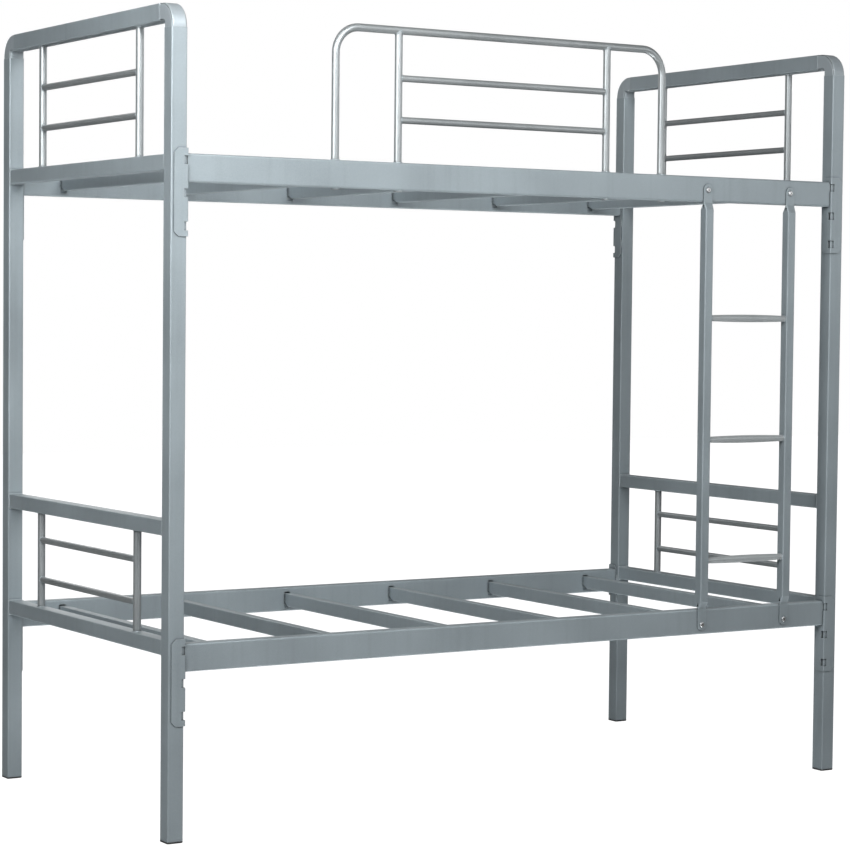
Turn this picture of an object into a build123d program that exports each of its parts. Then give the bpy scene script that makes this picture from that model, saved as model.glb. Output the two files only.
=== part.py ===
from build123d import *
import os

os.makedirs("parts", exist_ok=True)

# Whole bed. X runs along the length, -Y is the front with the ladder, Z is up from the floor.
bed_length = 1990.0
bed_width = 975.0
bed_height = 1920.0

# Square tube of the end frames
post_size = 40.0
frame_rail_size = 36.0
square_wall = 1.2
square_corner = 3.0

# Corner elbows
elbow_outer_radius = 56.0
elbow_inner_radius = 3.0
elbow_edge = 6.0
elbow_drop = 58.0
elbow_reach = 66.0

# Heights of the frame rails, underside of each
lower_cross_rail_z = 430.0
panel_rail_z = 705.5
upper_cross_rail_z = 1541.0

# Round tubes and rods
round_tube = 19.0
round_wall = 1.2
rod_size = 16.0
rod_wall = 1.0
panel_upright_y = 280.0
lower_rod_inset = 69.5
upper_rod_drops = (104.0, 205.5)

# Side rails
rail_height = 65.5
rail_depth = 30.0
rail_corner = 5.0
rail_recess = 3.0
lower_rail_top = 459.0
upper_rail_top = 1578.5

# Corner plates that the side rails hook into
plate_thickness = 3.0
plate_height = 201.0
plate_above_rail = 12.0
plate_setback = 7.0
plate_chamfer = 11.0
plate_side_depth = 38.0
plate_slot_height = 20.0
plate_slot_pitch = 75.0
plate_slot_margin = 17.5
plate_slot_front = 11.0
plate_slot_side = 11.5
plate_slot_corner = 0.8

# Hooks on the rail ends
hook_thickness = 3.0
hook_root = 40.0
hook_drop = 12.0
hook_neck = 16.0
hook_lip = 4.0
post_slot_width = 5.0

# Slats
slat_width = 25.0
slat_height = 36.0
slat_wall = 1.2
slat_below_rail = 15.0
slat_first_x = 168.0
slat_pitch = 336.0
slat_neck_length = 22.0
slat_tongue_width = 14.0
slat_tongue_height = 28.0
slat_tongue_depth = 5.0
slat_body_gap = 3.0

# Guard rail on the upper front side rail
guard_centre_x = -79.0
guard_span = 958.0
guard_inner_span = 612.0
guard_top_z = 1893.5
guard_bend = 62.0
guard_stub = 4.0
guard_rods_z = (1780.0, 1680.5)

# Ladder
ladder_x = (541.0, 814.0)
stile_size = 25.4
stile_wall = 1.5
stile_forward = 9.0
stile_end_gap = 20.0
tab_width = 27.0
tab_thickness = 3.0
tab_rail_gap = 1.0
upper_screw_z = 1543.5
lower_screw_z = 419.0
tab_end = 15.0
rung_z = (585.0, 899.0, 1214.0)
rung_end_half = (10.5, 7.6)
rung_mid_half = (9.6, 9.8)
rung_wall = 1.2

# Screws
screw_shank = 5.4
screw_head = 13.5
screw_head_height = 3.6
screw_length = 16.0
screw_recess = 1.2

# Foot caps
foot_overhang = 0.5
foot_flange_height = 4.0
foot_plug_height = 22.0
foot_plug_wall = 2.0

# Clearances between separate bodies
clearance = 0.3
rail_end_gap = 0.5

# Worked-out positions
end_x = bed_length / 2 - post_size / 2
side_y = bed_width / 2 - post_size / 2
post_top = bed_height - elbow_drop
post_inner_x = bed_length / 2 - post_size
post_inner_y = bed_width / 2 - post_size
top_tube_half = bed_width / 2 - elbow_reach
plate_fold_x = post_inner_x - plate_thickness
plate_face_y = bed_width / 2 + plate_thickness
rail_face_y = bed_width / 2 - rail_recess
rail_centre_y = rail_face_y - rail_depth / 2
rail_inner_y = rail_face_y - rail_depth
rail_half = plate_fold_x - rail_end_gap
hook_centre_y = rail_face_y - square_wall - hook_thickness / 2
lower_panel_low = lower_cross_rail_z + frame_rail_size
upper_panel_low = upper_cross_rail_z + frame_rail_size
upper_panel_high = bed_height - post_size
lower_rods_z = (lower_panel_low + lower_rod_inset, panel_rail_z - lower_rod_inset)
upper_rods_z = tuple(upper_panel_high - drop for drop in upper_rod_drops)
slot_drop = plate_slot_margin + plate_slot_height - plate_above_rail
slat_x = [slat_first_x + slat_pitch * step for step in range(-3, 3)]
slat_slot_top = 3.0
slat_slot_height = 44.0
tab_face_y = -rail_face_y - tab_thickness
stile_centre_y = tab_face_y - stile_forward + stile_size / 2
stile_low = lower_rail_top + stile_end_gap
stile_high = upper_rail_top - rail_height - stile_end_gap

ends = (("left", -1), ("right", 1))
sides = (("front", -1), ("back", 1))
levels = (("upper", upper_rail_top), ("lower", lower_rail_top))


def square_ring(size, wall, corner):
    # outline of a square tube, drawn into the open sketch
    RectangleRounded(size, size, corner)
    RectangleRounded(size - 2 * wall, size - 2 * wall, corner - wall / 2, mode=Mode.SUBTRACT)


def upright_square(x, y, low, high, size):
    # square tube standing between two heights
    with BuildSketch(Plane.XY.offset(low)) as outline:
        with Locations((x, y)):
            square_ring(size, square_wall, square_corner)
    extrude(outline.sketch, amount=high - low)


def crosswise_square(x, half_length, low, size):
    # square tube lying front to back
    with BuildSketch(Plane.XZ.offset(-half_length)) as outline:
        with Locations((x, low + size / 2)):
            square_ring(size, square_wall, square_corner)
    extrude(outline.sketch, amount=2 * half_length)


def rod_ring():
    # outline of a thin round rod tube, drawn into the open sketch
    Circle(rod_size / 2)
    Circle(rod_size / 2 - rod_wall, mode=Mode.SUBTRACT)


def upright_round(x, y, low, high, size):
    # round tube standing between two heights
    with BuildSketch(Plane.XY.offset(low)) as outline:
        with Locations((x, y)):
            Circle(size / 2)
            Circle(size / 2 - round_wall, mode=Mode.SUBTRACT)
    extrude(outline.sketch, amount=high - low)


for end_name, end_sign in ends:
    frame_x = end_sign * end_x

    for side_name, side_sign in sides:
        with BuildPart() as post:
            upright_square(frame_x, side_sign * side_y, foot_flange_height, post_top, post_size)
            with BuildSketch(Plane.YZ.offset(end_sign * (post_inner_x - 1))):
                for level_name, rail_top in levels:
                    for slot in range(3):
                        slot_z = rail_top - slot_drop + plate_slot_height / 2 - slot * plate_slot_pitch
                        with Locations((side_sign * hook_centre_y, slot_z)):
                            RectangleRounded(post_slot_width, plate_slot_height, plate_slot_corner)
            extrude(amount=end_sign * (square_wall + 2), mode=Mode.SUBTRACT)
        post.part.label = f"{end_name}_{side_name}_post"
        export_step(post.part, f"parts/{end_name}_{side_name}_post.step")

        with BuildPart() as elbow:
            outer_y = side_sign * bed_width / 2
            inner_y = side_sign * post_inner_y
            reach_y = side_sign * top_tube_half
            with BuildSketch(Plane.YZ.offset(frame_x - post_size / 2)):
                with BuildLine():
                    FilletPolyline(
                        (outer_y, post_top),
                        (outer_y, bed_height),
                        (reach_y, bed_height),
                        radius=elbow_outer_radius,
                    )
                    Line((reach_y, bed_height), (reach_y, upper_panel_high))
                    FilletPolyline(
                        (reach_y, upper_panel_high),
                        (inner_y, upper_panel_high),
                        (inner_y, post_top),
                        radius=elbow_inner_radius,
                    )
                    Line((inner_y, post_top), (outer_y, post_top))
                make_face()
            extrude(amount=post_size)
            long_edges = elbow.edges().filter_by(
                lambda e: min(
                    abs(e.center().X - frame_x - post_size / 2),
                    abs(e.center().X - frame_x + post_size / 2),
                )
                < 0.01
                and abs(e.center().Y - reach_y) > 0.01
                and abs(e.center().Z - post_top) > 0.01
            )
            fillet(long_edges, elbow_edge)
            bore_outer_y = side_sign * (bed_width / 2 - square_wall)
            bore_inner_y = side_sign * (post_inner_y + square_wall)
            with BuildSketch(Plane.YZ.offset(frame_x - post_size / 2 + square_wall)):
                with BuildLine():
                    FilletPolyline(
                        (bore_outer_y, post_top),
                        (bore_outer_y, bed_height - square_wall),
                        (reach_y, bed_height - square_wall),
                        radius=elbow_outer_radius - square_wall,
                    )
                    Line((reach_y, bed_height - square_wall), (reach_y, upper_panel_high + square_wall))
                    FilletPolyline(
                        (reach_y, upper_panel_high + square_wall),
                        (bore_inner_y, upper_panel_high + square_wall),
                        (bore_inner_y, post_top),
                        radius=elbow_inner_radius + square_wall,
                    )
                    Line((bore_inner_y, post_top), (bore_outer_y, post_top))
                make_face()
            extrude(amount=post_size - 2 * square_wall, mode=Mode.SUBTRACT)
        elbow.part.label = f"{end_name}_{side_name}_elbow"
        export_step(elbow.part, f"parts/{end_name}_{side_name}_elbow.step")

        with BuildPart() as rail_plates:
            for level_name, rail_top in levels:
                plate_top = rail_top + plate_above_rail
                plate_low = plate_top - plate_height
                far_x = end_sign * (bed_length / 2 - plate_setback)
                fold_x = end_sign * plate_fold_x
                step_x = end_sign * plate_chamfer
                face_y = side_sign * plate_face_y
                back_y = side_sign * (plate_face_y - plate_side_depth)
                step_y = side_sign * plate_chamfer
                with BuildSketch(Plane.XZ.offset(-face_y)):
                    with BuildLine():
                        Polyline(
                            (fold_x, plate_low),
                            (far_x - step_x, plate_low),
                            (far_x, plate_low + plate_chamfer),
                            (far_x, plate_top - plate_chamfer),
                            (far_x - step_x, plate_top),
                            (fold_x, plate_top),
                            close=True,
                        )
                    make_face()
                extrude(amount=side_sign * plate_thickness)
                with BuildSketch(Plane.YZ.offset(fold_x)):
                    with BuildLine():
                        Polyline(
                            (face_y, plate_low),
                            (back_y + step_y, plate_low),
                            (back_y, plate_low + plate_chamfer),
                            (back_y, plate_top - plate_chamfer),
                            (back_y + step_y, plate_top),
                            (face_y, plate_top),
                            close=True,
                        )
                    make_face()
                extrude(amount=end_sign * plate_thickness)
            fold_edges = rail_plates.edges().filter_by(
                lambda e: abs(e.center().X - end_sign * plate_fold_x) < 0.01
                and abs(e.center().Y - side_sign * plate_face_y) < 0.01
            )
            fillet(fold_edges, plate_thickness - 0.5)
            for level_name, rail_top in levels:
                for slot in range(3):
                    slot_z = rail_top - slot_drop + plate_slot_height / 2 - slot * plate_slot_pitch
                    with BuildSketch(Plane.XZ.offset(-side_sign * (plate_face_y + 1))):
                        with Locations((end_sign * plate_fold_x, slot_z)):
                            RectangleRounded(2 * plate_slot_front, plate_slot_height, plate_slot_corner)
                    extrude(amount=side_sign * (plate_thickness + 2), mode=Mode.SUBTRACT)
                    with BuildSketch(Plane.YZ.offset(end_sign * (plate_fold_x - 1))):
                        with Locations((side_sign * plate_face_y, slot_z)):
                            RectangleRounded(2 * plate_slot_side, plate_slot_height, plate_slot_corner)
                    extrude(amount=end_sign * (plate_thickness + 1.5), mode=Mode.SUBTRACT)
        rail_plates.part.label = f"{end_name}_{side_name}_rail_plates"
        export_step(rail_plates.part, f"parts/{end_name}_{side_name}_rail_plates.step")

    with BuildPart() as top_tube:
        crosswise_square(frame_x, top_tube_half, upper_panel_high, post_size)
    top_tube.part.label = f"{end_name}_top_tube"
    export_step(top_tube.part, f"parts/{end_name}_top_tube.step")

    with BuildPart() as upper_cross_rail:
        crosswise_square(frame_x, post_inner_y, upper_cross_rail_z, frame_rail_size)
    upper_cross_rail.part.label = f"{end_name}_upper_cross_rail"
    export_step(upper_cross_rail.part, f"parts/{end_name}_upper_cross_rail.step")

    with BuildPart() as panel_rail:
        crosswise_square(frame_x, post_inner_y, panel_rail_z, frame_rail_size)
    panel_rail.part.label = f"{end_name}_panel_rail"
    export_step(panel_rail.part, f"parts/{end_name}_panel_rail.step")

    with BuildPart() as lower_cross_rail:
        crosswise_square(frame_x, post_inner_y, lower_cross_rail_z, frame_rail_size)
    lower_cross_rail.part.label = f"{end_name}_lower_cross_rail"
    export_step(lower_cross_rail.part, f"parts/{end_name}_lower_cross_rail.step")

    panels = (
        ("upper", upper_panel_low, upper_panel_high, upper_rods_z),
        ("lower", lower_panel_low, panel_rail_z, lower_rods_z),
    )
    for panel_name, low, high, rods_z in panels:
        with BuildPart() as panel_uprights:
            for upright_y in (-panel_upright_y, panel_upright_y):
                upright_round(frame_x, upright_y, low, high, round_tube)
        panel_uprights.part.label = f"{end_name}_{panel_name}_uprights"
        export_step(panel_uprights.part, f"parts/{end_name}_{panel_name}_uprights.step")

        with BuildPart() as panel_rods:
            for rod_z in rods_z:
                with BuildSketch(Plane.XZ.offset(-panel_upright_y)):
                    with Locations((frame_x, rod_z)):
                        rod_ring()
                extrude(amount=2 * panel_upright_y)
            for upright_y in (-panel_upright_y, panel_upright_y):
                with BuildSketch(Plane.XY.offset(low)):
                    with Locations((frame_x, upright_y)):
                        Circle(round_tube / 2 + clearance)
                extrude(amount=high - low, mode=Mode.SUBTRACT)
        panel_rods.part.label = f"{end_name}_{panel_name}_rods"
        export_step(panel_rods.part, f"parts/{end_name}_{panel_name}_rods.step")


guard_legs_x = (guard_centre_x - guard_span / 2, guard_centre_x + guard_span / 2)
guard_inner_x = (guard_centre_x - guard_inner_span / 2, guard_centre_x + guard_inner_span / 2)
guard_y = -rail_centre_y
guard_low = upper_rail_top - rail_height - guard_stub

for level_name, rail_top in levels:
    rail_z = rail_top - rail_height / 2
    slot_low = rail_top - slot_drop
    slat_top = rail_top - slat_below_rail
    screw_z = upper_screw_z if level_name == "upper" else lower_screw_z
    tongue_low = slat_top - slat_tongue_height

    for side_name, side_sign in sides:
        with BuildPart() as side_rail:
            with BuildSketch(Plane.YZ.offset(-rail_half)):
                with Locations((side_sign * rail_centre_y, rail_z)):
                    RectangleRounded(rail_depth, rail_height, rail_corner)
                    RectangleRounded(
                        rail_depth - 2 * square_wall,
                        rail_height - 2 * square_wall,
                        rail_corner - square_wall,
                        mode=Mode.SUBTRACT,
                    )
            extrude(amount=2 * rail_half)
            with BuildSketch(Plane.XZ.offset(-side_sign * (rail_inner_y - 1))):
                for x in slat_x:
                    with Locations((x, slat_top + slat_slot_top - slat_slot_height / 2)):
                        RectangleRounded(slat_tongue_width + 4, slat_slot_height, square_corner)
            extrude(amount=-side_sign * (square_wall + 2), mode=Mode.SUBTRACT)
            if side_name == "front":
                with BuildSketch(Plane.XZ.offset(rail_face_y + 1)):
                    for x in ladder_x:
                        with Locations((x, screw_z)):
                            Circle(screw_shank / 2 + clearance)
                extrude(amount=-square_wall - 2, mode=Mode.SUBTRACT)
            if side_name == "front" and level_name == "upper":
                with BuildSketch(Plane.XY.offset(guard_low)):
                    for x in guard_legs_x + guard_inner_x:
                        with Locations((x, guard_y)):
                            Circle(round_tube / 2 + clearance)
                extrude(amount=rail_height + 2 * guard_stub, mode=Mode.SUBTRACT)
        side_rail.part.label = f"{level_name}_{side_name}_side_rail"
        export_step(side_rail.part, f"parts/{level_name}_{side_name}_side_rail.step")

        with BuildPart() as rail_hooks:
            hook_face_y = side_sign * (rail_face_y - square_wall)
            for end_name, end_sign in ends:
                root_x = end_sign * (rail_half - hook_root)
                catch_x = end_sign * (post_inner_x + square_wall + clearance)
                tip_x = catch_x + end_sign * hook_lip
                with BuildSketch(Plane.XZ.offset(-hook_face_y)):
                    with BuildLine():
                        Polyline(
                            (root_x, slot_low),
                            (catch_x, slot_low),
                            (catch_x, slot_low - hook_drop),
                            (tip_x, slot_low - hook_drop),
                            (tip_x, slot_low + hook_neck),
                            (root_x, slot_low + hook_neck),
                            close=True,
                        )
                    make_face()
                extrude(amount=side_sign * hook_thickness)
        rail_hooks.part.label = f"{level_name}_{side_name}_rail_hooks"
        export_step(rail_hooks.part, f"parts/{level_name}_{side_name}_rail_hooks.step")

    slat_body_half = rail_inner_y - slat_body_gap - slat_neck_length
    slat_face_half = rail_inner_y - slat_body_gap
    slat_lip_in = rail_inner_y + rail_corner + clearance
    slat_lip_out = slat_lip_in + slat_tongue_depth
    for number, x in enumerate(slat_x, start=1):
        with BuildPart() as slat:
            with BuildSketch(Plane.XZ.offset(-slat_body_half)):
                with Locations((x, slat_top - slat_height / 2)):
                    RectangleRounded(slat_width, slat_height, square_corner)
                    RectangleRounded(
                        slat_width - 2 * slat_wall,
                        slat_height - 2 * slat_wall,
                        square_corner - slat_wall / 2,
                        mode=Mode.SUBTRACT,
                    )
            extrude(amount=2 * slat_body_half)
            for side_sign in (-1, 1):
                with BuildSketch(Plane.XZ.offset(-side_sign * slat_body_half)):
                    with Locations((x, slat_top - slat_height / 2)):
                        RectangleRounded(slat_width, slat_height, square_corner)
                with BuildSketch(Plane.XZ.offset(-side_sign * slat_face_half)):
                    with Locations((x, slat_top - slat_tongue_height / 2 - 0.5)):
                        RectangleRounded(slat_tongue_width, slat_tongue_height - 1, square_corner)
                loft()
                with BuildSketch(Plane.XZ.offset(-side_sign * slat_face_half)):
                    with Locations((x, slat_top - slat_tongue_height / 2 - 0.5)):
                        RectangleRounded(slat_tongue_width, slat_tongue_height - 1, square_corner)
                extrude(amount=-side_sign * (slat_lip_out - slat_face_half))
                lip_low = rail_top - rail_height + square_wall
                with BuildSketch(Plane.XZ.offset(-side_sign * slat_lip_in)):
                    with Locations((x, (tongue_low + 4 + lip_low) / 2)):
                        Rectangle(slat_tongue_width - 2, tongue_low + 4 - lip_low)
                extrude(amount=-side_sign * slat_tongue_depth)
        slat.part.label = f"{level_name}_slat_{number}"
        export_step(slat.part, f"parts/{level_name}_slat_{number}.step")


with BuildPart() as guard_hoop:
    with BuildLine():
        hoop_line = FilletPolyline(
            (guard_legs_x[0], guard_y, guard_low),
            (guard_legs_x[0], guard_y, guard_top_z),
            (guard_legs_x[1], guard_y, guard_top_z),
            (guard_legs_x[1], guard_y, guard_low),
            radius=guard_bend,
        )
    with BuildSketch(Plane(origin=hoop_line @ 0, z_dir=hoop_line % 0)):
        Circle(round_tube / 2)
        Circle(round_tube / 2 - round_wall, mode=Mode.SUBTRACT)
    sweep()
guard_hoop.part.label = "guard_hoop"
export_step(guard_hoop.part, "parts/guard_hoop.step")

with BuildPart() as guard_uprights:
    for x in guard_inner_x:
        upright_round(x, guard_y, guard_low, guard_top_z, round_tube)
    with BuildSketch(Plane.YZ.offset(guard_legs_x[0])):
        with Locations((guard_y, guard_top_z)):
            Circle(round_tube / 2 + clearance)
    extrude(amount=guard_span, mode=Mode.SUBTRACT)
guard_uprights.part.label = "guard_uprights"
export_step(guard_uprights.part, "parts/guard_uprights.step")

with BuildPart() as guard_rods:
    for rod_z in guard_rods_z:
        with BuildSketch(Plane.YZ.offset(guard_inner_x[0])):
            with Locations((guard_y, rod_z)):
                rod_ring()
        extrude(amount=guard_inner_span)
    with BuildSketch(Plane.XY.offset(guard_low)):
        for x in guard_inner_x:
            with Locations((x, guard_y)):
                Circle(round_tube / 2 + clearance)
    extrude(amount=guard_top_z - guard_low, mode=Mode.SUBTRACT)
guard_rods.part.label = "guard_rods"
export_step(guard_rods.part, "parts/guard_rods.step")


stile_ends = (
    (stile_high, upper_rail_top - rail_height - tab_rail_gap, upper_screw_z, 1),
    (stile_low, lower_rail_top + tab_rail_gap, lower_screw_z, -1),
)
tab_centre_y = tab_face_y + tab_thickness / 2
for stile_name, x in zip(("left", "right"), ladder_x):
    with BuildPart() as stile:
        with BuildSketch(Plane.XY.offset(stile_low)):
            with Locations((x, stile_centre_y)):
                square_ring(stile_size, stile_wall, square_corner)
        extrude(amount=stile_high - stile_low)
        for body_z, tab_z, screw_z, up in stile_ends:
            with BuildSketch(Plane.XY.offset(body_z)):
                with Locations((x, stile_centre_y)):
                    RectangleRounded(stile_size, stile_size, square_corner)
            with BuildSketch(Plane.XY.offset(tab_z)):
                with Locations((x, tab_centre_y)):
                    RectangleRounded(tab_width, tab_thickness, tab_thickness / 3)
            loft()
            tip_z = screw_z + up * tab_end
            with BuildSketch(Plane.XZ.offset(-tab_face_y)):
                with Locations((x, (tab_z + tip_z) / 2)):
                    Rectangle(tab_width, abs(tip_z - tab_z))
            extrude(amount=-tab_thickness)
            with BuildSketch(Plane.XY.offset(body_z)):
                with Locations((x, stile_centre_y)):
                    inner = stile_size - 2 * stile_wall
                    RectangleRounded(inner, inner, square_corner - stile_wall / 2)
            with BuildSketch(Plane.XY.offset(tab_z - up * 6)):
                with Locations((x, tab_centre_y)):
                    RectangleRounded(inner, 1.4, 0.5)
            loft(mode=Mode.SUBTRACT)
            with BuildSketch(Plane.XZ.offset(-tab_face_y)):
                with Locations((x, screw_z)):
                    Circle(screw_shank / 2 + clearance)
            extrude(amount=-tab_thickness, mode=Mode.SUBTRACT)
            dent_z = (body_z + tab_z) / 2
            with BuildSketch(Plane.YZ.offset(x - tab_width / 2)):
                with BuildLine():
                    Polyline(
                        (tab_centre_y + 1, dent_z - up * 8),
                        (tab_centre_y - 3.5, dent_z + up * 3),
                        (tab_centre_y + 4, dent_z + up * 3),
                        close=True,
                    )
                make_face()
            extrude(amount=tab_width, mode=Mode.SUBTRACT)
        tab_corners = stile.edges().filter_by(Axis.Y).filter_by(
            lambda e: abs(abs(e.center().X - x) - tab_width / 2) < 0.01
            and (
                abs(e.center().Z - upper_screw_z - tab_end) < 0.01
                or abs(e.center().Z - lower_screw_z + tab_end) < 0.01
            )
        )
        fillet(tab_corners, tab_width / 2 - 1)
    stile.part.label = f"ladder_{stile_name}_stile"
    export_step(stile.part, f"parts/ladder_{stile_name}_stile.step")

rung_from = ladder_x[0] + stile_size / 2
rung_to = ladder_x[1] - stile_size / 2
rung_stations = (
    (rung_from, rung_end_half),
    ((rung_from + rung_to) / 2, rung_mid_half),
    (rung_to, rung_end_half),
)
for number, z in enumerate(rung_z, start=1):
    with BuildPart() as rung:
        for x, (half_depth, half_height) in rung_stations:
            with BuildSketch(Plane.YZ.offset(x)):
                with Locations((stile_centre_y, z)):
                    Ellipse(half_depth, half_height)
        loft()
        for x, (half_depth, half_height) in rung_stations:
            with BuildSketch(Plane.YZ.offset(x)):
                with Locations((stile_centre_y, z)):
                    Ellipse(half_depth - rung_wall, half_height - rung_wall)
        loft(mode=Mode.SUBTRACT)
    rung.part.label = f"ladder_rung_{number}"
    export_step(rung.part, f"parts/ladder_rung_{number}.step")

with BuildPart() as ladder_screws:
    for x in ladder_x:
        for z in (upper_screw_z, lower_screw_z):
            with BuildSketch(Plane.XZ.offset(-tab_face_y)):
                with Locations((x, z)):
                    Circle(screw_head / 2)
            extrude(amount=screw_head_height)
            with BuildSketch(Plane.XZ.offset(-tab_face_y)):
                with Locations((x, z)):
                    Circle(screw_shank / 2)
            extrude(amount=-screw_length)
    rims = ladder_screws.edges().filter_by(GeomType.CIRCLE).filter_by(
        lambda e: abs(e.center().Y - tab_face_y + screw_head_height) < 0.01
    )
    fillet(rims, screw_head_height * 0.6)
    with BuildSketch(Plane.XZ.offset(-tab_face_y + screw_head_height)):
        for x in ladder_x:
            for z in (upper_screw_z, lower_screw_z):
                with Locations((x, z)):
                    Rectangle(screw_head * 0.55, screw_recess, rotation=45)
                    Rectangle(screw_recess, screw_head * 0.55, rotation=45)
    extrude(amount=-screw_head_height * 0.6, mode=Mode.SUBTRACT)
ladder_screws.part.label = "ladder_screws"
export_step(ladder_screws.part, "parts/ladder_screws.step")

with BuildPart() as foot_caps:
    flange_size = post_size + 2 * foot_overhang
    plug_size = post_size - 2 * square_wall - 2 * clearance
    with BuildSketch():
        for x in (-end_x, end_x):
            for y in (-side_y, side_y):
                with Locations((x, y)):
                    RectangleRounded(flange_size, flange_size, square_corner)
    extrude(amount=foot_flange_height)
    with BuildSketch(Plane.XY.offset(foot_flange_height)):
        for x in (-end_x, end_x):
            for y in (-side_y, side_y):
                with Locations((x, y)):
                    square_ring(plug_size, foot_plug_wall, square_corner)
    extrude(amount=foot_plug_height)
foot_caps.part.label = "foot_caps"
export_step(foot_caps.part, "parts/foot_caps.step")
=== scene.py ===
import bpy
import bmesh
import math
import random
from mathutils import Vector, Matrix


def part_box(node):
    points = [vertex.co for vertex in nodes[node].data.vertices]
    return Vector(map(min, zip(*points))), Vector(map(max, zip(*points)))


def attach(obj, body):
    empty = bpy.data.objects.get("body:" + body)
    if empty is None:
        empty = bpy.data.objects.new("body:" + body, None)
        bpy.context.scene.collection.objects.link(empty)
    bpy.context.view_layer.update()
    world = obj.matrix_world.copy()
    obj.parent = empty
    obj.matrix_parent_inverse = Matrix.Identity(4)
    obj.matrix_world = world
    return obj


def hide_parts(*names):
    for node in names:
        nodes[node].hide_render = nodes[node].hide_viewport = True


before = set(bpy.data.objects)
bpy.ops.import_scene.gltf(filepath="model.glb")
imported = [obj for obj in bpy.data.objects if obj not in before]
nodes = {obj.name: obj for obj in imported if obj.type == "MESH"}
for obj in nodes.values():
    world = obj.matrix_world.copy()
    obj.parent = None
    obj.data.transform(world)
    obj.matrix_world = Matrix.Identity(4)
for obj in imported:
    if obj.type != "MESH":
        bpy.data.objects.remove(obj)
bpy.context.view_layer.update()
scene = bpy.context.scene
scene.view_settings.view_transform = "Standard"
dice = random.Random(11)
print("frame in place:", len(nodes), "nodes")

# turn runs from looking straight at the ladder side towards the ladder end; angles are degrees
camera = {
    "place": (-3.587, -5.745, 1.231),
    "turn": 31.92,
    "tilt": 2.59,
    "roll": 0.58,
    "lens": 108.9,
    "sensor": 36,
}


def makeCamera():
    data = bpy.data.cameras.new("camera")
    data.lens = camera["lens"]
    data.sensor_width = camera["sensor"]
    obj = bpy.data.objects.new("camera", data)
    scene.collection.objects.link(obj)
    turn = Matrix.Rotation(math.radians(-camera["turn"]), 4, "Z")
    tilt = Matrix.Rotation(math.radians(90 - camera["tilt"]), 4, "X")
    roll = Matrix.Rotation(math.radians(camera["roll"]), 4, "Z")
    obj.matrix_world = Matrix.Translation(camera["place"]) @ turn @ tilt @ roll
    scene.camera = obj


makeCamera()
print("camera set")


# node tree helpers
def addNode(tree, kind, **values):
    node = tree.nodes.new(kind)
    for key, value in values.items():
        setattr(node, key, value)
    return node


def link(tree, source, target):
    tree.links.new(source, target)


def newGroup(name, inputs, outputs):
    tree = bpy.data.node_groups.new(name, "ShaderNodeTree")
    kind = "NodeSocketFloat"
    for label, value in inputs:
        socket = tree.interface.new_socket(name=label, in_out="INPUT", socket_type=kind)
        socket.default_value = value
    for label in outputs:
        tree.interface.new_socket(name=label, in_out="OUTPUT", socket_type=kind)
    return tree, tree.nodes.new("NodeGroupInput"), tree.nodes.new("NodeGroupOutput")


def mathNode(tree, operation, first, second=None, clamp=False):
    node = addNode(tree, "ShaderNodeMath", operation=operation, use_clamp=clamp)
    for socket, value in zip(node.inputs, (first, second)):
        if value is None:
            continue
        if isinstance(value, (int, float)):
            socket.default_value = value
        else:
            link(tree, value, socket)
    return node.outputs[0]


def noiseNode(tree, scale, detail=2.0, stretch=None):
    place = addNode(tree, "ShaderNodeTexCoord").outputs["Object"]
    if stretch:
        mapping = addNode(tree, "ShaderNodeMapping")
        mapping.inputs["Scale"].default_value = stretch
        link(tree, place, mapping.inputs["Vector"])
        place = mapping.outputs[0]
    noise = addNode(tree, "ShaderNodeTexNoise")
    noise.inputs["Detail"].default_value = detail
    link(tree, place, noise.inputs["Vector"])
    if isinstance(scale, (int, float)):
        noise.inputs["Scale"].default_value = scale
    else:
        link(tree, scale, noise.inputs["Scale"])
    return noise.outputs["Fac"]


# fixed proportions inside the shared groups
inGroups = {
    "broadShare": 0.28,
    "fineHeight": 0.45,
    "streakStretch": (1.0, 1.0, 0.04),
    "breakGain": 0.9,
    "breakFloor": 0.25,
    "grimeAndShadeGain": 1.5,
    "dustFacing": 3.0,
}


# fine pebbled skin of sprayed and baked powder, and the bright flake in it
def makePowderSkin():
    tree, take, give = newGroup(
        "powderSkin", (("Scale", 700.0), ("Flake Scale", 1600.0)), ("Height", "Flake")
    )
    fine = noiseNode(tree, take.outputs["Scale"], detail=3.0)
    broadScale = mathNode(tree, "MULTIPLY", take.outputs["Scale"], inGroups["broadShare"])
    broad = noiseNode(tree, broadScale, detail=1.0)
    both = mathNode(tree, "ADD", mathNode(tree, "MULTIPLY", fine, inGroups["fineHeight"]), broad)
    link(tree, both, give.inputs["Height"])
    flake = addNode(tree, "ShaderNodeTexVoronoi")
    place = addNode(tree, "ShaderNodeTexCoord").outputs["Object"]
    link(tree, place, flake.inputs["Vector"])
    link(tree, take.outputs["Flake Scale"], flake.inputs["Scale"])
    parts = addNode(tree, "ShaderNodeSeparateColor")
    link(tree, flake.outputs["Color"], parts.inputs[0])
    link(tree, parts.outputs[0], give.inputs["Flake"])
    return tree


# slow drift of tone, and streaks that run down uprights
def makeToneDrift():
    tree, take, give = newGroup(
        "toneDrift", (("Scale", 5.0), ("Streak Scale", 60.0)), ("Cloud", "Streak")
    )
    link(tree, noiseNode(tree, take.outputs["Scale"], detail=3.0), give.inputs["Cloud"])
    streak = noiseNode(tree, take.outputs["Streak Scale"], stretch=inGroups["streakStretch"])
    link(tree, streak, give.inputs["Streak"])
    return tree
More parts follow.
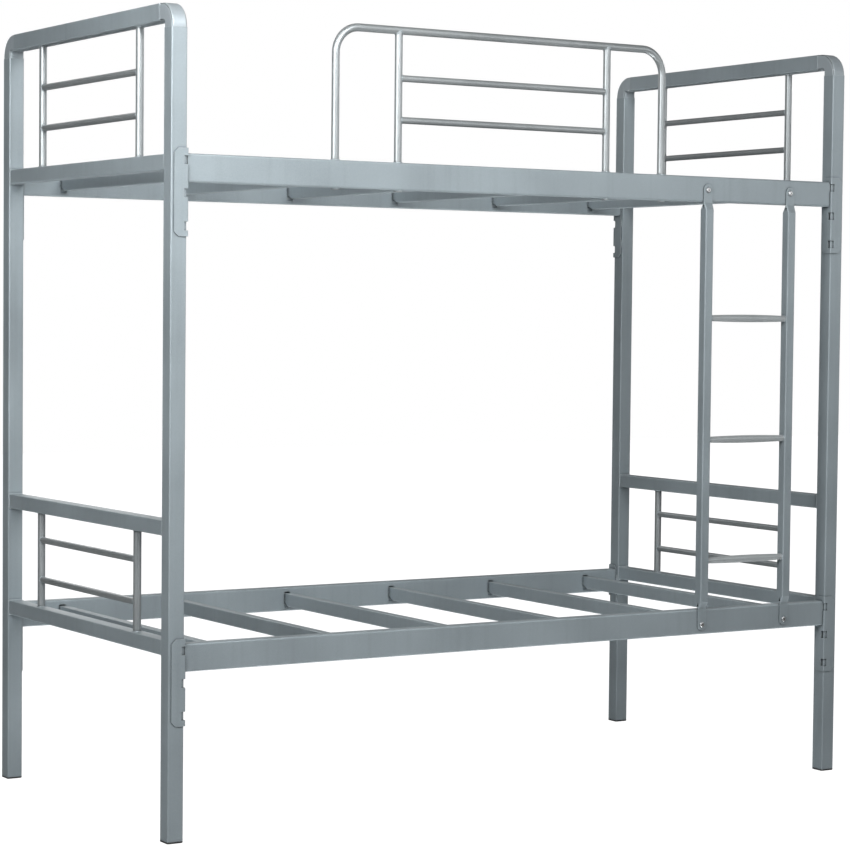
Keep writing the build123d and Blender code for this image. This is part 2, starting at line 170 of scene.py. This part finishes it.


# rubbed coat and painted edge highlight: a pale colour laid along outer edges by a bevel-normal
# mask, broken up by noise
def makeEdgeRubAndHighlight():
    tree, take, give = newGroup(
        "edgeRubAndHighlight", (("Radius", 0.002), ("Gain", 6.0), ("Break", 90.0)), ("Edge",)
    )
    bevel = addNode(tree, "ShaderNodeBevel", samples=4)
    link(tree, take.outputs["Radius"], bevel.inputs["Radius"])
    own = addNode(tree, "ShaderNodeNewGeometry")
    dot = addNode(tree, "ShaderNodeVectorMath", operation="DOT_PRODUCT")
    link(tree, bevel.outputs[0], dot.inputs[0])
    link(tree, own.outputs["Normal"], dot.inputs[1])
    turned = mathNode(tree, "SUBTRACT", 1.0, dot.outputs["Value"])
    strong = mathNode(tree, "MULTIPLY", turned, take.outputs["Gain"], True)
    patches = mathNode(
        tree, "MULTIPLY", noiseNode(tree, take.outputs["Break"]), inGroups["breakGain"]
    )
    broken = mathNode(tree, "ADD", patches, inGroups["breakFloor"])
    link(tree, mathNode(tree, "MULTIPLY", strong, broken, True), give.inputs["Edge"])
    return tree


# painted shade with grime: a dark line laid by an occlusion mask where two pieces meet and in
# corners
def makeCornerGrimeAndShade():
    tree, take, give = newGroup("cornerGrimeAndShade", (("Reach", 0.006), ("Power", 1.6)), ("GrimeAndShade",))
    shut = addNode(tree, "ShaderNodeAmbientOcclusion", samples=6)
    link(tree, take.outputs["Reach"], shut.inputs["Distance"])
    closed = mathNode(tree, "SUBTRACT", 1.0, shut.outputs["AO"], True)
    deep = mathNode(tree, "MULTIPLY", closed, inGroups["grimeAndShadeGain"], True)
    link(tree, mathNode(tree, "POWER", deep, take.outputs["Power"]), give.inputs["GrimeAndShade"])
    return tree


# dust that lies on faces that look up
def makeLyingDust():
    tree, take, give = newGroup("lyingDust", (("Scale", 40.0), ("Amount", 0.3)), ("Dust",))
    own = addNode(tree, "ShaderNodeNewGeometry")
    split = addNode(tree, "ShaderNodeSeparateXYZ")
    link(tree, own.outputs["Normal"], split.inputs[0])
    facing = mathNode(tree, "MAXIMUM", split.outputs["Z"], 0.0)
    up = mathNode(tree, "POWER", facing, inGroups["dustFacing"])
    spread = mathNode(tree, "MULTIPLY", noiseNode(tree, take.outputs["Scale"], detail=5.0), up)
    dust = mathNode(tree, "MULTIPLY", spread, take.outputs["Amount"], True)
    link(tree, dust, give.inputs["Dust"])
    return tree


groups = {
    "skin": makePowderSkin(),
    "drift": makeToneDrift(),
    "rubAndHighlight": makeEdgeRubAndHighlight(),
    "grimeAndShade": makeCornerGrimeAndShade(),
    "dust": makeLyingDust(),
}
print("shared node groups:", ", ".join(g.name for g in groups.values()))


def useGroup(tree, key, values):
    node = addNode(tree, "ShaderNodeGroup")
    node.node_tree = groups[key]
    for label, value in values.items():
        node.inputs[label].default_value = value
    return node.outputs


def mixColour(tree, factor, first, second):
    # the colour sockets of this node are inputs 6 and 7 and output 2
    node = addNode(tree, "ShaderNodeMix", data_type="RGBA")
    for index, value in ((0, factor), (6, first), (7, second)):
        socket = node.inputs[index]
        if isinstance(value, (tuple, list)):
            socket.default_value = (*value, 1.0)
        elif isinstance(value, (int, float)):
            socket.default_value = value
        else:
            link(tree, value, socket)
    return node.outputs[2]


def rangeNode(tree, value, low, high, fromLow=0.0, fromHigh=1.0):
    node = addNode(tree, "ShaderNodeMapRange")
    link(tree, value, node.inputs["Value"])
    node.inputs["From Min"].default_value = fromLow
    node.inputs["From Max"].default_value = fromHigh
    node.inputs["To Min"].default_value = low
    node.inputs["To Max"].default_value = high
    return node.outputs[0]


def startMaterial(name):
    mat = bpy.data.materials.new(name)
    mat.use_nodes = True
    return mat, mat.node_tree, mat.node_tree.nodes["Principled BSDF"]


def bumpFrom(tree, height, distance):
    bump = addNode(tree, "ShaderNodeBump")
    bump.inputs["Distance"].default_value = distance
    bump.inputs["Strength"].default_value = 1.0
    link(tree, height, bump.inputs["Height"])
    return bump.outputs[0]


# colours, then where each one shows: a range of the noise that drives it, and how much it covers
powderCoat = {
    "shade": (0.285, 0.335, 0.362),
    "light": (0.345, 0.405, 0.435),
    "flake": (0.9, 0.95, 1.0),
    "streak": (0.12, 0.14, 0.15),
    # pale colour along outer edges: painted edge highlight with some rubbed wear
    "rubbedHighlight": (0.62, 0.68, 0.70),
    # near-black colour laid into joints and corners by the occlusion mask: painted shade with some
    # grime
    "grimeAndShade": (0.035, 0.040, 0.042),
    "dust": (0.52, 0.50, 0.46),
    "metallic": 0.30,
    "roughness": (0.38, 0.50),
    "roughRange": (0.3, 0.7),
    "skinScale": 620.0,
    "skinDepth": 0.00004,
    "flakeScale": 1500.0,
    "flakeRange": (0.4, 1.0),
    "flakeAmount": 0.10,
    "driftScale": 4.0,
    "driftRange": (0.32, 0.68),
    "streakScale": 55.0,
    "streakRange": (0.5, 0.9),
    "streakAmount": 0.16,
    # edge mask settings for the painted edge highlight with rubbed wear
    "rubHighlightRadius": 0.0022,
    "rubHighlightGain": 5.0,
    "rubHighlightBreak": 80.0,
    "rubAndHighlight": 0.55,
    # occlusion mask settings for the painted shade in joints
    "grimeAndShadeReach": 0.009,
    "grimeAndShadePower": 1.5,
    "grimeAndShadeRough": 0.3,
    "dustScale": 35.0,
    "dustAmount": 0.22,
    "dustRough": 0.25,
}


def makePowderCoat(name, changes=None):
    finish = dict(powderCoat, **(changes or {}))
    mat, tree, shader = startMaterial(name)
    skin = useGroup(tree, "skin", {
        "Scale": finish["skinScale"], "Flake Scale": finish["flakeScale"]})
    drift = useGroup(tree, "drift", {
        "Scale": finish["driftScale"], "Streak Scale": finish["streakScale"]})
    rubAndHighlight = useGroup(tree, "rubAndHighlight", {
        "Radius": finish["rubHighlightRadius"], "Gain": finish["rubHighlightGain"], "Break": finish["rubHighlightBreak"]})
    grimeAndShade = useGroup(tree, "grimeAndShade", {
        "Reach": finish["grimeAndShadeReach"], "Power": finish["grimeAndShadePower"]})
    dust = useGroup(tree, "dust", {
        "Scale": finish["dustScale"], "Amount": finish["dustAmount"]})

    clouds = rangeNode(tree, drift["Cloud"], 0.0, 1.0, *finish["driftRange"])
    flakes = rangeNode(tree, skin["Flake"], 0.0, finish["flakeAmount"], *finish["flakeRange"])
    streaks = rangeNode(tree, drift["Streak"], 0.0, finish["streakAmount"], *finish["streakRange"])
    edges = mathNode(tree, "MULTIPLY", rubAndHighlight["Edge"], finish["rubAndHighlight"])
    colour = mixColour(tree, clouds, finish["shade"], finish["light"])
    colour = mixColour(tree, flakes, colour, finish["flake"])
    colour = mixColour(tree, streaks, colour, finish["streak"])
    # painted edge highlight with rubbed wear: outer edges lightened towards the pale colour
    colour = mixColour(tree, edges, colour, finish["rubbedHighlight"])
    # painted shade with grime: joints and corners darkened by the occlusion mask
    colour = mixColour(tree, grimeAndShade["GrimeAndShade"], colour, finish["grimeAndShade"])
    colour = mixColour(tree, dust["Dust"], colour, finish["dust"])
    link(tree, colour, shader.inputs["Base Color"])

    rough = rangeNode(tree, drift["Cloud"], *finish["roughness"], *finish["roughRange"])
    dusty = mathNode(tree, "MULTIPLY", dust["Dust"], finish["dustRough"])
    grimeAndShadeRoughAdd = mathNode(tree, "MULTIPLY", grimeAndShade["GrimeAndShade"], finish["grimeAndShadeRough"])
    rough = mathNode(tree, "ADD", rough, dusty, True)
    rough = mathNode(tree, "ADD", rough, grimeAndShadeRoughAdd, True)
    link(tree, rough, shader.inputs["Roughness"])
    shader.inputs["Metallic"].default_value = finish["metallic"]
    link(tree, bumpFrom(tree, skin["Height"], finish["skinDepth"]), shader.inputs["Normal"])
    return mat


zincPlate = {
    "bright": (0.90, 0.91, 0.92),
    "dull": (0.70, 0.72, 0.73),
    "worn": (0.9, 0.9, 0.88),
    # near-black painted shade with some grime in the screw recesses
    "grimeAndShade": (0.03, 0.03, 0.03),
    "roughness": (0.30, 0.48),
    "brushDepth": 0.00003,
    "drift": {"Scale": 160.0, "Streak Scale": 900.0},
    # occlusion mask settings for the painted shade in the screw recesses
    "grimeAndShadeSettings": {"Reach": 0.0015, "Power": 1.2},
    "rubAndHighlight": {"Radius": 0.0006, "Gain": 4.0, "Break": 400.0},
}


def makeZinc():
    mat, tree, shader = startMaterial("zincPlate")
    drift = useGroup(tree, "drift", zincPlate["drift"])
    grimeAndShade = useGroup(tree, "grimeAndShade", zincPlate["grimeAndShadeSettings"])
    rubAndHighlight = useGroup(tree, "rubAndHighlight", zincPlate["rubAndHighlight"])
    colour = mixColour(tree, drift["Cloud"], zincPlate["dull"], zincPlate["bright"])
    # painted edge highlight with wear along the screw edges
    colour = mixColour(tree, rubAndHighlight["Edge"], colour, zincPlate["worn"])
    # painted shade with grime: screw recesses darkened by the occlusion mask
    colour = mixColour(tree, grimeAndShade["GrimeAndShade"], colour, zincPlate["grimeAndShade"])
    link(tree, colour, shader.inputs["Base Color"])
    rough = rangeNode(tree, drift["Streak"], *zincPlate["roughness"])
    link(tree, rough, shader.inputs["Roughness"])
    shader.inputs["Metallic"].default_value = 1.0
    bump = bumpFrom(tree, drift["Streak"], zincPlate["brushDepth"])
    link(tree, bump, shader.inputs["Normal"])
    return mat


capPlastic = {
    "dark": (0.018, 0.019, 0.021),
    "pale": (0.035, 0.036, 0.038),
    "worn": (0.075, 0.078, 0.080),
    "dust": (0.35, 0.33, 0.30),
    "roughness": (0.42, 0.62),
    "grainDepth": 0.00012,
    "skin": {"Scale": 1400.0, "Flake Scale": 2500.0},
    "drift": {"Scale": 60.0, "Streak Scale": 300.0},
    "rubAndHighlight": {"Radius": 0.0015, "Gain": 5.0, "Break": 200.0},
    "lying": {"Scale": 120.0, "Amount": 0.5},
}


def makeCapPlastic():
    mat, tree, shader = startMaterial("capPlastic")
    skin = useGroup(tree, "skin", capPlastic["skin"])
    drift = useGroup(tree, "drift", capPlastic["drift"])
    rubAndHighlight = useGroup(tree, "rubAndHighlight", capPlastic["rubAndHighlight"])
    dust = useGroup(tree, "dust", capPlastic["lying"])
    colour = mixColour(tree, drift["Cloud"], capPlastic["dark"], capPlastic["pale"])
    # painted edge highlight with wear along the cap edges
    colour = mixColour(tree, rubAndHighlight["Edge"], colour, capPlastic["worn"])
    colour = mixColour(tree, dust["Dust"], colour, capPlastic["dust"])
    link(tree, colour, shader.inputs["Base Color"])
    rough = rangeNode(tree, drift["Streak"], *capPlastic["roughness"])
    link(tree, rough, shader.inputs["Roughness"])
    bump = bumpFrom(tree, skin["Height"], capPlastic["grainDepth"])
    link(tree, bump, shader.inputs["Normal"])
    return mat


coatTube = makePowderCoat("powderCoatTube")
coatRail = makePowderCoat("powderCoatRail", {"roughness": (0.40, 0.52)})
# the elbows take a lighter copy of the tube coat: painted light for the lighter shade the bends
# catch
coatElbowPaintedLight = makePowderCoat("powderCoatElbowPaintedLight", {
    "shade": (0.34, 0.39, 0.42),
    "light": (0.40, 0.455, 0.485),
    "roughness": (0.44, 0.54),
})
# plates take a stronger painted edge highlight along their cut edges
coatPlate = makePowderCoat("powderCoatPlate", {
    "rubAndHighlight": 0.8,
    "rubHighlightRadius": 0.0018,
    "skinDepth": 0.0001,
})
coatRound = makePowderCoat("silverCoatRound", {
    "shade": (0.35, 0.38, 0.39),
    "light": (0.42, 0.45, 0.46),
    "metallic": 0.60,
    "roughness": (0.36, 0.44),
    "skinDepth": 0.000012,
    "rubAndHighlight": 0.2,
})
# the rungs take a lighter copy of the round coat: painted light making up for shade on their lower
# sides
coatRungPaintedLight = makePowderCoat("silverCoatRungPaintedLight", {
    "shade": (0.37, 0.40, 0.41),
    "light": (0.43, 0.46, 0.47),
    "roughness": (0.42, 0.52),
    "skinDepth": 0.00002,
    "rubAndHighlight": 0.3,
    "grimeAndShadeReach": 0.006,
})
# the weld beads take a lighter copy of the coat: painted highlight for beads that catch the light
coatWeldPaintedHighlight = makePowderCoat("powderCoatWeldPaintedHighlight", {
    "shade": (0.34, 0.39, 0.42),
    "light": (0.44, 0.50, 0.53),
    "roughness": (0.28, 0.46),
    "skinDepth": 0.00016,
    "rubAndHighlight": 0.3,
    "grimeAndShadeReach": 0.002,
})
zinc = makeZinc()
plastic = makeCapPlastic()

# which finish each kind of node takes; the first word that fits wins
finishes = (
    ("screws", zinc),
    ("caps", plastic),
    ("plates", coatPlate),
    ("hooks", coatPlate),
    ("elbow", coatElbowPaintedLight),
    ("rods", coatRound),
    ("uprights", coatRound),
    ("hoop", coatRound),
    ("rung", coatRungPaintedLight),
    ("side_rail", coatRail),
    ("slat", coatRail),
    ("", coatTube),
)
for name, obj in nodes.items():
    obj.data.materials.clear()
    obj.data.materials.append(next(mat for word, mat in finishes if word in name))
print("finishes on", len(nodes), "nodes")


def meshPiece(name, mesh, mat):
    obj = bpy.data.objects.new(name, mesh)
    scene.collection.objects.link(obj)
    mesh.materials.append(mat)
    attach(obj, "root")
    return obj


axisX = Vector((1, 0, 0))
axisY = Vector((0, 1, 0))
axisZ = Vector((0, 0, 1))

# the four corners of a square: signs along its two axes and where the corner's arc starts
squareCorners = ((1, 1, 0), (-1, 1, 90), (-1, -1, 180), (1, -1, 270))

# a run of weld is a string of small overlapping puddles; beads are shares of the full radius
weld = {
    "radius": 0.0024,
    "uprightBead": 0.85,
    "legBead": 0.9,
    "rodBead": 0.7,
    "rungBead": 0.8,
    "stitchBead": 0.8,
    "stitchHalf": 0.011,
    "stitchPlaces": (0.2, 0.5, 0.8),
    "seamRadius": 0.0010,
    "seamSink": 0.6,
    "ringCorner": 0.003,
    "ringTurns": (0, 30, 60, 90),
    "ovalPoints": 36,
    "ripplePitch": 0.0034,
    "ripple": 0.16,
    "wander": 0.05,
    "endSize": 0.35,
    "endRise": 2.2,
    "step": 0.0011,
    "sides": 8,
}
plateTall = 0.201


def walkPath(points, closed, step):
    # evenly spaced points along a run of straight bits
    ring = points + [points[0]] if closed else points
    lengths = [(b - a).length for a, b in zip(ring, ring[1:])]
    total = sum(lengths)
    count = max(3, round(total / step))
    out = []
    for index in range(count if closed else count + 1):
        want = total * index / count
        for a, b, run in zip(ring, ring[1:], lengths):
            if want <= run or (a, b) == (ring[-2], ring[-1]):
                out.append(a.lerp(b, min(1.0, want / run if run else 0.0)))
                break
            want -= run
    return out


def addBead(bm, points, outward, radius, closed=True):
    # outward points away from the joint at a path point, and keeps the section from twisting
    spots = walkPath(points, closed, weld["step"])
    count = len(spots)
    phase = dice.uniform(0, math.tau)
    loops = []
    for index, spot in enumerate(spots):
        ahead = spots[(index + 1) % count] if closed or index + 1 < count else spot
        behind = spots[index - 1] if closed or index else spot
        along = (ahead - behind).normalized()
        side = outward(spot)
        side = (side - along * side.dot(along)).normalized()
        across = along.cross(side)
        travel = index * weld["step"]
        swell = 1 + weld["ripple"] * math.sin(math.tau * travel / weld["ripplePitch"] + phase)
        swell += dice.uniform(-1, 1) * weld["wander"]
        if not closed:
            fromEnd = min(index, count - 1 - index)
            swell *= min(1.0, weld["endSize"] + weld["endRise"] * fromEnd / count)
        size = radius * swell
        loop = []
        for corner in range(weld["sides"]):
            angle = math.tau * corner / weld["sides"]
            offset = size * (math.cos(angle) * side + math.sin(angle) * across)
            loop.append(bm.verts.new(spot + offset))
        loops.append(loop)
    pairs = list(zip(loops, loops[1:]))
    if closed:
        pairs.append((loops[-1], loops[0]))
    for one, two in pairs:
        for corner in range(weld["sides"]):
            after = (corner + 1) % weld["sides"]
            bm.faces.new((one[corner], one[after], two[after], two[corner]))
    if not closed:
        bm.faces.new(list(reversed(loops[0])))
        bm.faces.new(loops[-1])


def squareRing(centre, axisOne, axisTwo, halfOne, halfTwo):
    # rounded square outline in the plane of two axes
    corner = weld["ringCorner"]
    points = []
    for signOne, signTwo, start in squareCorners:
        sideOne = axisOne * signOne * (halfOne - corner)
        sideTwo = axisTwo * signTwo * (halfTwo - corner)
        middle = centre + sideOne + sideTwo
        for turn in weld["ringTurns"]:
            angle = math.radians(start + turn)
            arc = math.cos(angle) * axisOne + math.sin(angle) * axisTwo
            points.append(middle + corner * arc)
    return points


def ovalRing(centre, axisOne, axisTwo, halfOne, halfTwo, saddle=None):
    # round outline; saddle bends it onto a tube: (direction into the tube, the tube's radius)
    points = []
    for index in range(weld["ovalPoints"]):
        angle = math.tau * index / weld["ovalPoints"]
        offOne = halfOne * math.cos(angle)
        offTwo = halfTwo * math.sin(angle)
        point = centre + axisOne * offOne + axisTwo * offTwo
        if saddle:
            into, tubeRadius = saddle
            depth = tubeRadius - math.sqrt(max(0.0, tubeRadius ** 2 - offOne ** 2))
            point = point + into * depth
        points.append(point)
    return points


def beadRing(bm, points, centre, radius):
    addBead(bm, points, lambda spot: spot - centre, radius)


def tubePair(node, along):
    # two round tubes in one node that lie apart along an axis: middles, radius, end heights
    low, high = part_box(node)
    thick = high.y - low.y if "guard" in node else high.x - low.x
    radius = thick / 2
    middle = (low + high) / 2
    places = []
    for value in (low[along] + radius, high[along] - radius):
        spot = middle.copy()
        spot[along] = value
        places.append(spot)
    return places, radius, (low.z, high.z)


def frameWelds(end):
    bm = bmesh.new()
    # cross rails butt against the posts
    for part in ("upper_cross_rail", "panel_rail", "lower_cross_rail"):
        low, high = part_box(f"{end}_{part}")
        middle = (low + high) / 2
        for y in (low.y, high.y):
            centre = Vector((middle.x, y, middle.z))
            ring = squareRing(centre, axisX, axisZ, (high.x - low.x) / 2, (high.z - low.z) / 2)
            beadRing(bm, ring, centre, weld["radius"])
    # dressed seams of the corner elbows
    for side in ("front", "back"):
        low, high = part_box(f"{end}_{side}_post")
        centre = Vector(((low.x + high.x) / 2, (low.y + high.y) / 2, high.z))
        half = (high.x - low.x) / 2 - weld["seamRadius"] * weld["seamSink"]
        beadRing(bm, squareRing(centre, axisX, axisY, half, half), centre, weld["seamRadius"])
    low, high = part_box(f"{end}_top_tube")
    half = (high.z - low.z) / 2 - weld["seamRadius"] * weld["seamSink"]
    for y in (low.y, high.y):
        centre = Vector(((low.x + high.x) / 2, y, (low.z + high.z) / 2))
        beadRing(bm, squareRing(centre, axisX, axisZ, half, half), centre, weld["seamRadius"])
    # uprights stand between the rails, rods run between the uprights
    for panel in ("upper", "lower"):
        uprights, radius, heights = tubePair(f"{end}_{panel}_uprights", 1)
        for spot in uprights:
            for z in heights:
                centre = Vector((spot.x, spot.y, z))
                ring = ovalRing(centre, axisX, axisY, radius, radius)
                beadRing(bm, ring, centre, weld["radius"] * weld["uprightBead"])
        rods, rodRadius = tubePair(f"{end}_{panel}_rods", 2)[:2]
        for rod in rods:
            for spot, inward in zip(uprights, (1, -1)):
                centre = Vector((rod.x, spot.y + inward * radius, rod.z))
                saddle = (axisY * -inward, radius)
                ring = ovalRing(centre, axisX, axisZ, rodRadius, rodRadius, saddle)
                beadRing(bm, ring, centre, weld["radius"] * weld["rodBead"])
    # stitches down the back edge of each corner plate, where it lies on the post
    for side, sign in (("front", -1), ("back", 1)):
        low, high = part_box(f"{end}_{side}_rail_plates")
        postLow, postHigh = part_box(f"{end}_{side}_post")
        innerX = postHigh.x if end == "left" else postLow.x
        edgeY = high.y if side == "front" else low.y
        radius = weld["radius"] * weld["stitchBead"]
        for plateLow in (low.z, high.z - plateTall):
            for share in weld["stitchPlaces"]:
                z = plateLow + plateTall * share
                ends = (z - weld["stitchHalf"], z + weld["stitchHalf"])
                run = [Vector((innerX, edgeY, end)) for end in ends]
                addBead(bm, run, lambda spot: -axisY * sign, radius, closed=False)
    return bm


def guardWelds():
    bm = bmesh.new()
    hoopLow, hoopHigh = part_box("guard_hoop")
    railLow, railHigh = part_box("upper_front_side_rail")
    radius = (hoopHigh.y - hoopLow.y) / 2
    y = (hoopLow.y + hoopHigh.y) / 2
    uprights = tubePair("guard_uprights", 0)[0]
    legs = [hoopLow.x + radius, hoopHigh.x - radius] + [spot.x for spot in uprights]
    for x in legs:
        for z in (railLow.z, railHigh.z):
            centre = Vector((x, y, z))
            ring = ovalRing(centre, axisX, axisY, radius, radius)
            beadRing(bm, ring, centre, weld["radius"] * weld["legBead"])
    for spot in uprights:
        centre = Vector((spot.x, y, hoopHigh.z - 2 * radius))
        ring = ovalRing(centre, axisY, axisX, radius, radius, (axisZ, radius))
        beadRing(bm, ring, centre, weld["radius"] * weld["rodBead"])
    rods, rodRadius = tubePair("guard_rods", 2)[:2]
    for rod in rods:
        for spot, inward in zip(uprights, (1, -1)):
            centre = Vector((spot.x + inward * radius, y, rod.z))
            saddle = (axisX * -inward, radius)
            ring = ovalRing(centre, axisY, axisZ, rodRadius, rodRadius, saddle)
            beadRing(bm, ring, centre, weld["radius"] * weld["rodBead"])
    return bm


rungEnd = {"halfDepth": 0.0105, "halfHeight": 0.0076}


def ladderWelds():
    bm = bmesh.new()
    for number in (1, 2, 3):
        low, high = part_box(f"ladder_rung_{number}")
        middle = (low + high) / 2
        for x in (low.x, high.x):
            centre = Vector((x, middle.y, middle.z))
            ring = ovalRing(centre, axisY, axisZ, rungEnd["halfDepth"], rungEnd["halfHeight"])
            beadRing(bm, ring, centre, weld["radius"] * weld["rungBead"])
    return bm


def finishBeads(name, bm):
    bmesh.ops.recalc_face_normals(bm, faces=bm.faces)
    for face in bm.faces:
        face.smooth = True
    mesh = bpy.data.meshes.new(name)
    bm.to_mesh(mesh)
    bm.free()
    meshPiece(name, mesh, coatWeldPaintedHighlight)


finishBeads("left_frame_welds", frameWelds("left"))
finishBeads("right_frame_welds", frameWelds("right"))
finishBeads("guard_welds", guardWelds())
finishBeads("ladder_welds", ladderWelds())
print("weld beads laid")

# moulded cap under each post: lip, tapered flange, recessed sole with cross ribs
cap = {
    "lipTop": 0.0052,
    "flange": 0.0205,
    "corner": 0.0042,
    "soleRecess": 0.0014,
    "ribHalf": 0.0011,
    "ribEndGap": 0.0050,
    "ribTaper": 0.98,
    "ribFoot": 0.0002,
    "ribSink": 0.0004,
    "insideGap": 0.004,
    "cornerSteps": 5,
}


def squareLoop(bm, centre, half, corner, z):
    loop = []
    for signX, signY, start in squareCorners:
        for step in range(cap["cornerSteps"] + 1):
            angle = math.radians(start + 90 * step / cap["cornerSteps"])
            x = centre.x + signX * (half - corner) + corner * math.cos(angle)
            y = centre.y + signY * (half - corner) + corner * math.sin(angle)
            loop.append(bm.verts.new((x, y, z)))
    return loop


def skinLoops(bm, loops):
    for one, two in zip(loops, loops[1:]):
        for index in range(len(one)):
            after = (index + 1) % len(one)
            bm.faces.new((one[index], one[after], two[after], two[index]))


def addCap(bm, centre, inside):
    half = cap["flange"]
    corner = cap["corner"]
    # half width, corner radius and height, from inside the post down and under the sole
    sections = (
        (inside, corner * 0.6, cap["lipTop"] - 0.0012),
        (half - 0.0016, corner, cap["lipTop"] - 0.0012),
        (half - 0.0009, corner, cap["lipTop"] - 0.0002),
        (half - 0.0003, corner, cap["lipTop"] - 0.0010),
        (half, corner, cap["lipTop"] - 0.0022),
        (half, corner, 0.0016),
        (half - 0.0005, corner, 0.0006),
        (half - 0.0015, corner, 0.0),
        (half - 0.0042, corner * 0.8, 0.0),
        (half - 0.0048, corner * 0.7, cap["soleRecess"] * 0.7),
        (half - 0.0055, corner * 0.6, cap["soleRecess"]),
        (0.0012, 0.0008, cap["soleRecess"]),
    )
    loops = [squareLoop(bm, centre, *section) for section in sections]
    skinLoops(bm, loops)
    bm.faces.new(loops[-1])
    for lengthwise in (0, 1):
        ribHalves = [cap["ribHalf"], cap["ribHalf"]]
        ribHalves[lengthwise] = half - cap["ribEndGap"]
        rings = []
        rootHeight = cap["soleRecess"] + cap["ribSink"]
        for share, z in ((cap["ribTaper"], cap["ribFoot"]), (1, rootHeight)):
            ring = []
            for signX, signY, start in squareCorners:
                x = centre.x + signX * ribHalves[0] * share
                y = centre.y + signY * ribHalves[1] * share
                ring.append(bm.verts.new((x, y, z)))
            rings.append(ring)
        foot, root = rings
        skinLoops(bm, [root, foot])
        bm.faces.new(foot)


def makeCaps():
    bm = bmesh.new()
    for end in ("left", "right"):
        for side in ("front", "back"):
            low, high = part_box(f"{end}_{side}_post")
            addCap(bm, (low + high) / 2, (high.x - low.x) / 2 - cap["insideGap"])
    bmesh.ops.recalc_face_normals(bm, faces=bm.faces)
    mesh = bpy.data.meshes.new("footCaps")
    bm.to_mesh(mesh)
    bm.free()
    obj = meshPiece("moulded_foot_caps", mesh, plastic)
    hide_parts("foot_caps")


makeCaps()
print("foot caps moulded")

studio = {
    "floorSize": 14.0,
    "floorShade": (0.30, 0.30, 0.30),
    "floorGlow": 1.19,
    "floorGlowShare": 0.92,
    "openWhite": 1.0,
    "skyLight": 0.015,
    "skyShade": (0.97, 0.99, 1.0),
}

# soft boxes: (name, place, aim, size, watts, spread in degrees)
softBoxes = (
    ("sideBox", (-3.6, -1.6, 2.2), (-1.0, 0.0, 1.1), 1.5, 74.0, 180.0),
    ("sideHigh", (-3.2, -1.6, 2.8), (-1.0, 0.0, 1.8), 1.2, 3.0, 80.0),
    ("frontBox", (-0.3, -3.3, 3.2), (-0.1, -0.4, 1.3), 1.5, 80.0, 180.0),
    ("nearHigh", (-1.9, -2.3, 2.9), (-0.97, -0.47, 1.85), 0.8, 5.5, 60.0),
    ("lowBox", (0.0, -3.6, 0.5), (0.0, -0.4, 0.8), 1.5, 8.0, 180.0),
    ("floorBounce", (0.0, 0.0, 0.01), (0.0, 0.0001, 1.0), 3.2, 32.0, 16.0),
    ("rightBox", (2.6, -3.0, 2.0), (0.6, -0.4, 1.0), 1.5, 13.0, 180.0),
    ("backBox", (0.4, 4.6, 2.6), (0.0, 0.4, 1.0), 2.2, 34.0, 180.0),
    ("farBox", (4.6, 1.4, 2.4), (1.0, 0.0, 1.0), 1.8, 42.0, 180.0),
)


def makeFloor():
    bm = bmesh.new()
    bmesh.ops.create_grid(bm, x_segments=8, y_segments=8, size=studio["floorSize"])
    mesh = bpy.data.meshes.new("floor")
    bm.to_mesh(mesh)
    bm.free()
    floor = bpy.data.objects.new("floor", mesh)
    scene.collection.objects.link(floor)
    mat = bpy.data.materials.new("paleFloor")
    mat.use_nodes = True
    tree = mat.node_tree
    tree.nodes.clear()
    matte = addNode(tree, "ShaderNodeBsdfDiffuse")
    matte.inputs["Color"].default_value = (*studio["floorShade"], 1)
    glow = addNode(tree, "ShaderNodeEmission")
    glow.inputs["Color"].default_value = (1, 1, 1, 1)
    glow.inputs["Strength"].default_value = studio["floorGlow"]
    sight = addNode(tree, "ShaderNodeLightPath")
    share = mathNode(tree, "MULTIPLY", sight.outputs["Is Camera Ray"], studio["floorGlowShare"])
    mix = addNode(tree, "ShaderNodeMixShader")
    link(tree, share, mix.inputs[0])
    link(tree, matte.outputs[0], mix.inputs[1])
    link(tree, glow.outputs[0], mix.inputs[2])
    out = addNode(tree, "ShaderNodeOutputMaterial")
    link(tree, mix.outputs[0], out.inputs[0])
    mesh.materials.append(mat)


def makeSky():
    world = bpy.data.worlds.new("studio")
    scene.world = world
    world.use_nodes = True
    tree = world.node_tree
    tree.nodes.clear()
    seen = addNode(tree, "ShaderNodeBackground")
    seen.inputs["Strength"].default_value = studio["openWhite"]
    seen.inputs["Color"].default_value = (1, 1, 1, 1)
    lit = addNode(tree, "ShaderNodeBackground")
    lit.inputs["Color"].default_value = (*studio["skyShade"], 1)
    lit.inputs["Strength"].default_value = studio["skyLight"]
    sight = addNode(tree, "ShaderNodeLightPath")
    mix = addNode(tree, "ShaderNodeMixShader")
    link(tree, sight.outputs["Is Camera Ray"], mix.inputs[0])
    link(tree, lit.outputs[0], mix.inputs[1])
    link(tree, seen.outputs[0], mix.inputs[2])
    out = addNode(tree, "ShaderNodeOutputWorld")
    link(tree, mix.outputs[0], out.inputs[0])


def makeSoftBox(name, place, aim, size, watts, spread):
    data = bpy.data.lights.new(name, "AREA")
    data.size = size
    data.energy = watts
    data.spread = math.radians(spread)
    obj = bpy.data.objects.new(name, data)
    scene.collection.objects.link(obj)
    obj.location = place
    obj.rotation_euler = (Vector(aim) - Vector(place)).to_track_quat("-Z", "Y").to_euler()


makeFloor()
makeSky()
for box in softBoxes:
    makeSoftBox(*box)
print("studio lit")
